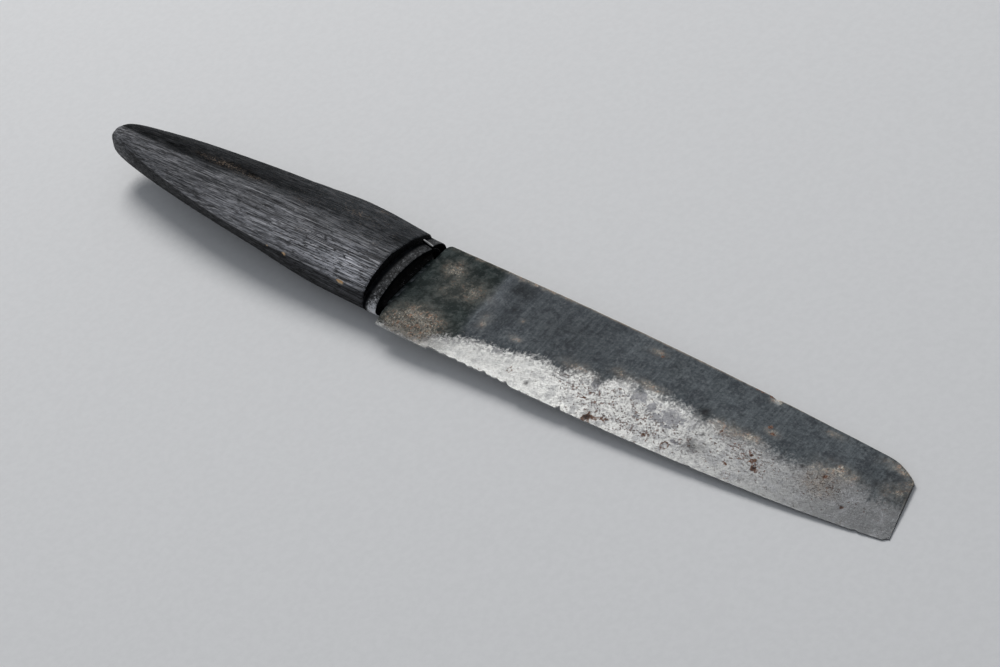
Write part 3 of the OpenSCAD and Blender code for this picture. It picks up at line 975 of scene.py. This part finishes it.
# Angles are degrees about +X from the spine side. The strip runs from its hidden end, once round, to the lap.
HIDDEN_END = -62
LAP_END = 33
SPRUNG_AT, SPRUNG_REACH = 363, 32    # where the outer layer has sprung away, and how far to each side
SPRUNG = 1.15                        # by how much


def strip_profile(width):
    """The strip's section, with rounded corners: places along X and through its thickness."""
    corner = 0.18
    points = []
    for angle in np.radians(np.arange(0, 360, 15)):
        c, s = math.cos(angle), math.sin(angle)
        points.append([(width / 2 - corner) * np.sign(round(c, 6)) + corner * c,
                       (STRIP / 2 - corner) * np.sign(round(s, 6)) + corner * s])
    return resample(np.array(points), 48, closed=True).T


def strip_rise(degree, share):
    """How far the middle of the strip lies outside the collar's oval."""
    rise = (STRIP + 0.07) * smoothstep(-27, 0, degree - HIDDEN_END - 360) - STRIP / 2
    if abs(degree - SPRUNG_AT) < SPRUNG_REACH:
        fall = math.cos(math.radians(90 * (degree - SPRUNG_AT) / SPRUNG_REACH)) ** 2
        rise += (SPRUNG - 0.35 * share) * fall
    return np.broadcast_to(rise, share.shape)[:, None]


def build_collar():
    cad = Surface("collar")
    width, mid = cad.high[0] - cad.low[0], (cad.low[0] + cad.high[0]) / 2
    along, across = strip_profile(width)
    share = along / width
    degrees = np.arange(HIDDEN_END, LAP_END + 360.1, 1.5)
    rings, lit_fronts, burr_highlights = [], [], []
    for degree in degrees:
        # the cut end is slightly askew
        angle = np.radians(degree + 10 * share * smoothstep(LAP_END + 320, LAP_END + 360, degree))
        spoke = np.column_stack([np.cos(angle), np.sin(angle)])
        outward = spoke / COLLAR_HALF
        outward /= np.linalg.norm(outward, axis=1, keepdims=True)
        place = AXIS + (COLLAR_HALF + strip_rise(degree, share)) * spoke
        dents = cloud(np.stack([np.full_like(along, degree / 9.0), along / 2.2, across], 1), 81)
        lift = np.where(across > 0.2, across - 0.05 * (1 + dents), across)
        wave = 0.07 * math.sin(degree / 17.0) + 0.04 * math.sin(degree / 6.1)
        wave += 0.45 * smoothstep(HIDDEN_END + 330, HIDDEN_END + 365, degree)
        rings.append(np.column_stack([mid + along + wave * (along > 0), place + lift[:, None] * outward]))
        # the front of the strip is worn bare and painted lit, most of all at the cutting-edge side where a
        # painted highlight sits; its back half and inner faces stay black as painted shade
        worn = 0.33 + 0.67 * math.exp(-((degree - 178) / 28) ** 2)
        lit_fronts.append(smoothstep(-0.44, 0.06, share) * worn * (across > 0.3))
        # a painted highlight along the outer edge of the cut end
        burr_highlights.append((across > 0.45) * (degree > degrees[-2]))
    collar = loft("iron_collar", rings)
    sharpen(collar, 40)
    paint(collar, "cut", np.append(np.ravel(burr_highlights), [0, 0]))
    paint(collar, "front", np.append(np.ravel(lit_fronts), [0, 0]))
    dress(collar, "collar", iron_material())
    return collar


def iron_material():
    n = Nodes("blackened_iron")
    grain = n.noise((2.2, 2.2, 2.2), 4, 0.65)
    medium = n.noise((1.1, 1.1, 1.1), 3, 0.62)
    mottle = n.noise((0.35, 0.35, 0.35), 4, 0.6)
    fine = n.noise((6, 6, 6), 3, 0.6)
    front, cut = n.attribute("front"), n.attribute("cut")
    grit = n.swing(n.plus(grain, medium), 1.0, 0.9)
    # worn bare metal together with the painted highlight on the strip's front
    worn = n.ramp(n.plus(front, grit), 0.42, 1.0)
    # near-black iron, which also stands as painted shade on the back half and inner faces
    base = n.mix(n.ramp(mottle, 0.38, 0.62), (0.0015, 0.0018, 0.0022), (0.0045, 0.005, 0.006))
    colour = n.layer(base, [
        # painted light on the strip's front
        ((0.052, 0.055, 0.058), n.ramp(front, 0.1, 0.4), n.ramp(medium, 0.42, 0.6)),
        # bare metal with a painted highlight
        ((0.72, 0.73, 0.75), worn, 0.92),
        ((0.004, 0.004, 0.005), n.ramp(grain, 0.44, 0.34), 0.7),
        # painted highlight along the cut end's edge
        ((0.85, 0.85, 0.84), cut, 0.95),
    ])
    rough = n.blend(n.ramp(grain, 0.35, 0.65), 0.36, 0.55)
    relief = n.bump(n.plus(grain, n.times(fine, 0.4)), 0.16)
    gloss = n.ramp(n.plus(front, cut), 0.05, 0.8, 0.0, 0.6)
    return n.finish(colour, rough, n.times(worn, 0.85), relief, gloss)


# ---- the pitch

PITCH_AROUND = 200
PLUG_BACK, PLUG_FRONT = -4.35, -3.0      # the plug that fills the collar's mouth
NECK = ((-9.5, 0.3), (10.5, 1.9))        # low and high corners, in Y and Z, of the blade's neck
# The bead round the blade's root: distance from the heel, how far it swells over the neck, lumpiness
BEAD = [(-2.95, 2.2, 0.1), (-2.8, 1.6, 0.16), (-2.4, 1.25, 0.22), (-1.9, 1, 0.22), (-1.4, 0.72, 0.18),
        (-1.05, 0.42, 0.1), (-0.98, 0.22, 0.04)]


def slot_ring(x, low, high, swell=0.0):
    """A rounded rectangle across X between two corners, started where the ovals start."""
    middle = (np.array(low) + high) / 2
    half = (np.array(high) - low) / 2 + swell
    angle = ring_angles()
    spoke = np.column_stack([np.cos(angle), np.sin(angle)])
    place = middle + half * np.sign(spoke) * np.abs(spoke) ** 0.25
    return resample(np.column_stack([np.full(SECTION_POINTS, x), place]), PITCH_AROUND, closed=True)


def lumpy(ring, amount, seed):
    """Pushes a ring's points in and out, and along X, by up to about amount."""
    outward = ring - ring.mean(0)
    outward[:, 0] = 0
    outward /= np.linalg.norm(outward, axis=1, keepdims=True)
    ring = ring + outward * (amount * cloud(ring / 1.9, seed))[:, None]
    ring[:, 0] += 0.6 * amount * cloud(ring / 1.5, seed + 5)
    return ring


def bead_ring(x, swell, lump):
    """A lumpy ring round the neck, kept inside the collar's mouth."""
    ring = slot_ring(x, *NECK, swell)
    reach = np.hypot((ring[:, 1] - AXIS[0]) / STUB_HALF[0], (ring[:, 2] - AXIS[1]) / STUB_HALF[1])
    over = np.maximum(0, reach - 0.97)
    ring[:, 1:] = AXIS + (ring[:, 1:] - AXIS) / (1 + over)[:, None]
    return lumpy(ring, lump, 91)


def build_pitch():
    cad = Surface("pitch_bedding")
    tip = cad.low[0]
    mouth = ((-10.3, -0.5), (11.3, 2.7))
    # outside: forward along the slot, out to the collar, and over the plug's face to the bead
    rings = [slot_ring(tip, (-0.1, -0.5), (3.1, 2.7)), slot_ring(tip + 3.5, (-1.8, -0.5), (4.8, 2.7)),
             slot_ring(-7, (-5.8, -0.5), (8.8, 2.7)), slot_ring(-6.3, *mouth), slot_ring(PLUG_BACK, *mouth)]
    for x, inset in ((PLUG_BACK, 0.0), (PLUG_FRONT - 0.25, 0.0), (PLUG_FRONT - 0.05, 0.1), (PLUG_FRONT, 0.3)):
        rings.append(oval_ring(x, *(STUB_HALF - inset), PITCH_AROUND))
    rings += [bead_ring(*row) for row in BEAD]
    # inside: back along the neck and tang
    rings += [slot_ring(-1.1, *NECK, 0.05), slot_ring(PLUG_BACK, *NECK, 0.05),
              slot_ring(-4.6, (-5.0, 0.25), (8.0, 1.95)), slot_ring(-72.0, (-1.5, 0.25), (4.5, 1.95)),
              slot_ring(-78.05, (0.2, 0.25), (2.8, 1.95))]
    pitch = loft("pitch_bead", rings)
    sharpen(pitch, 60)
    x, _, z = verts_mm(pitch).T
    paint(pitch, "bead", smoothstep(-2.5, -1.5, x) * (z > 1.2))
    dress(pitch, "pitch_bedding", pitch_material())
    return pitch


def pitch_material():
    n = Nodes("hard_pitch")
    lumps = n.noise((0.9, 0.9, 0.9), 4, 0.6)
    fine = n.noise((3.5, 3.5, 3.5), 4, 0.6)
    bead = n.attribute("bead")
    glint = n.times(bead, n.times(n.ramp(fine, 0.6, 0.65), n.ramp(lumps, 0.54, 0.62)))
    colour = n.mix(n.ramp(lumps, 0.4, 0.65), (0.002, 0.002, 0.002), (0.006, 0.005, 0.005))
    colour = n.mix(n.times(glint, 0.8), colour, (0.3, 0.305, 0.31))
    rough = n.blend(bead, 0.55, n.blend(n.ramp(fine, 0.4, 0.65), 0.14, 0.34))
    relief = n.bump(n.plus(lumps, n.times(fine, 0.35)), 0.22)
    return n.finish(colour, rough, 0.0, relief, n.blend(glint, 0.06, 0.6))


# ---- floor, light and camera

REST_TILT = math.radians(2.04)   # the knife lies on the grip's belly and the blade's far end


def floor_point(x, y):
    """A point of the floor, in metres, from millimetres along and across it. It meets the blade's far end."""
    pivot = CAD_BOX[1][0]
    return Vector((pivot, 0, 0)) + Matrix.Rotation(-REST_TILT, 3, "Y") @ Vector((x * MM - pivot, y * MM, 0))


def build_floor():
    reach = 6000
    ends = ((-reach, -reach), (reach, -reach), (reach, reach), (-reach, reach))
    corners = [floor_point(*end) / MM for end in ends]
    floor = make_object("floor", np.array(corners), [[0, 1, 2, 3]])
    n = Nodes("pale_floor")
    grain = n.noise((0.5, 0.5, 0.5), 4, 0.6)
    colour = n.mix(n.ramp(grain, 0.3, 0.7), (0.83, 0.835, 0.84), (0.86, 0.865, 0.87))
    floor.data.materials.append(n.finish(colour, 0.75, 0.0))
    return floor


def look(obj, place, aim, roll=0.0):
    """Stands obj at place, facing aim, turned about its own axis by roll degrees."""
    turn = (Vector(aim) - Vector(place)).to_track_quat("-Z", "Y").to_matrix().to_4x4()
    obj.matrix_world = Matrix.Translation(place) @ turn @ Matrix.Rotation(math.radians(roll), 4, "Z")


def area_light(name, direction, distance, size, watts, colour=(1, 1, 1), aim=(0.02, 0, 0)):
    light = bpy.data.lights.new(name, "AREA")
    light.shape = "DISK"
    light.size, light.energy, light.color = size, watts, colour
    obj = bpy.data.objects.new(name, light)
    bpy.context.scene.collection.objects.link(obj)
    look(obj, Vector(aim) + Vector(direction).normalized() * distance, aim)
    return obj


def build_world():
    world = bpy.data.worlds.new("studio")
    world.use_nodes = True
    background = next(n for n in world.node_tree.nodes if n.type == "BACKGROUND")
    background.inputs["Color"].default_value = (0.8, 0.84, 0.9, 1)
    background.inputs["Strength"].default_value = 0.32
    bpy.context.scene.world = world


def build_lights():
    """A soft key that lights the surfaces, and a sheen beside it that only their gloss shows."""
    key = area_light("key", (-0.62, 0.46, 0.64), 2.0, 0.9, 24, (1.0, 0.985, 0.97))
    key.visible_glossy = False
    sheen = area_light("sheen", (-0.6, 0.42, 0.68), 2.0, 0.9, 10.5, (1.0, 0.99, 0.98), aim=(0.05, 0, 0))
    sheen.visible_diffuse = False


def build_camera():
    """A camera at the photo's viewing angle: off the blade's axis, looking down, and rolled."""
    azimuth, height, roll, distance = math.radians(55.382), math.radians(42.785), -20, 0.7313
    camera = bpy.data.cameras.new("camera")
    camera.lens, camera.sensor_width = 93.6, 36
    camera.clip_start, camera.clip_end = 0.05, 20
    eye = bpy.data.objects.new("camera", camera)
    bpy.context.scene.collection.objects.link(eye)
    level = math.cos(height)
    back = Vector((math.sin(azimuth) * level, -math.cos(azimuth) * level, math.sin(height)))
    aim = Vector((0.038, -0.0029, 0.0015))
    look(eye, aim + back * distance, aim, roll)
    bpy.context.scene.camera = eye
    bpy.context.scene.view_settings.view_transform = "Standard"


build_blade()
build_handle()
build_collar()
build_pitch()
build_floor()
build_world()
build_lights()
build_camera()
